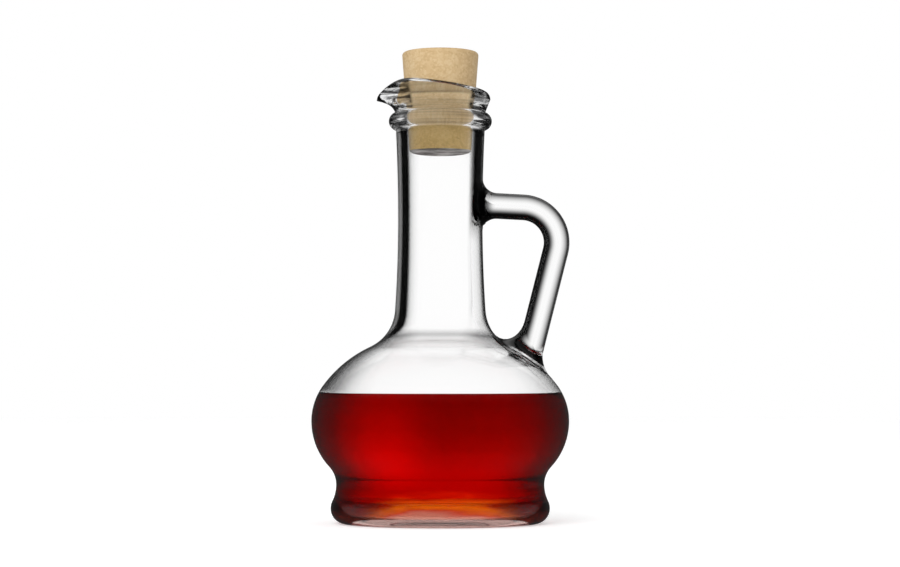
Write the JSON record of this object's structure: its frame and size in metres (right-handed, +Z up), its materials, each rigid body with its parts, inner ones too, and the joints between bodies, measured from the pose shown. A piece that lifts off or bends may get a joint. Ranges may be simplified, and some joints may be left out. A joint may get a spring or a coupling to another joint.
{
  "type": "oil carafe",
  "caption": "Clear glass oil carafe with a footed bulb, a tall neck, a solid rod handle, a tilted pouring lip and a tapered cork, part filled with red vinegar.",
  "frame": {"origin": "middle of the foot's underside, on the carafe's axis", "axes": "+Z up along the neck; the pouring spout points to -X and the handle to +X"},
  "size_m": [0.0903, 0.09, 0.1652],
  "materials": {
    "glass": "clear soda-lime glass, fire-polished",
    "cork": "fine-ground cork, matt",
    "vinegar": "clear dark red liquid"
  },
  "bodies": {
    "root": {"glass_carafe": "glass", "cork_stopper": "cork", "vinegar": "vinegar"}
  },
  "joints": []
}
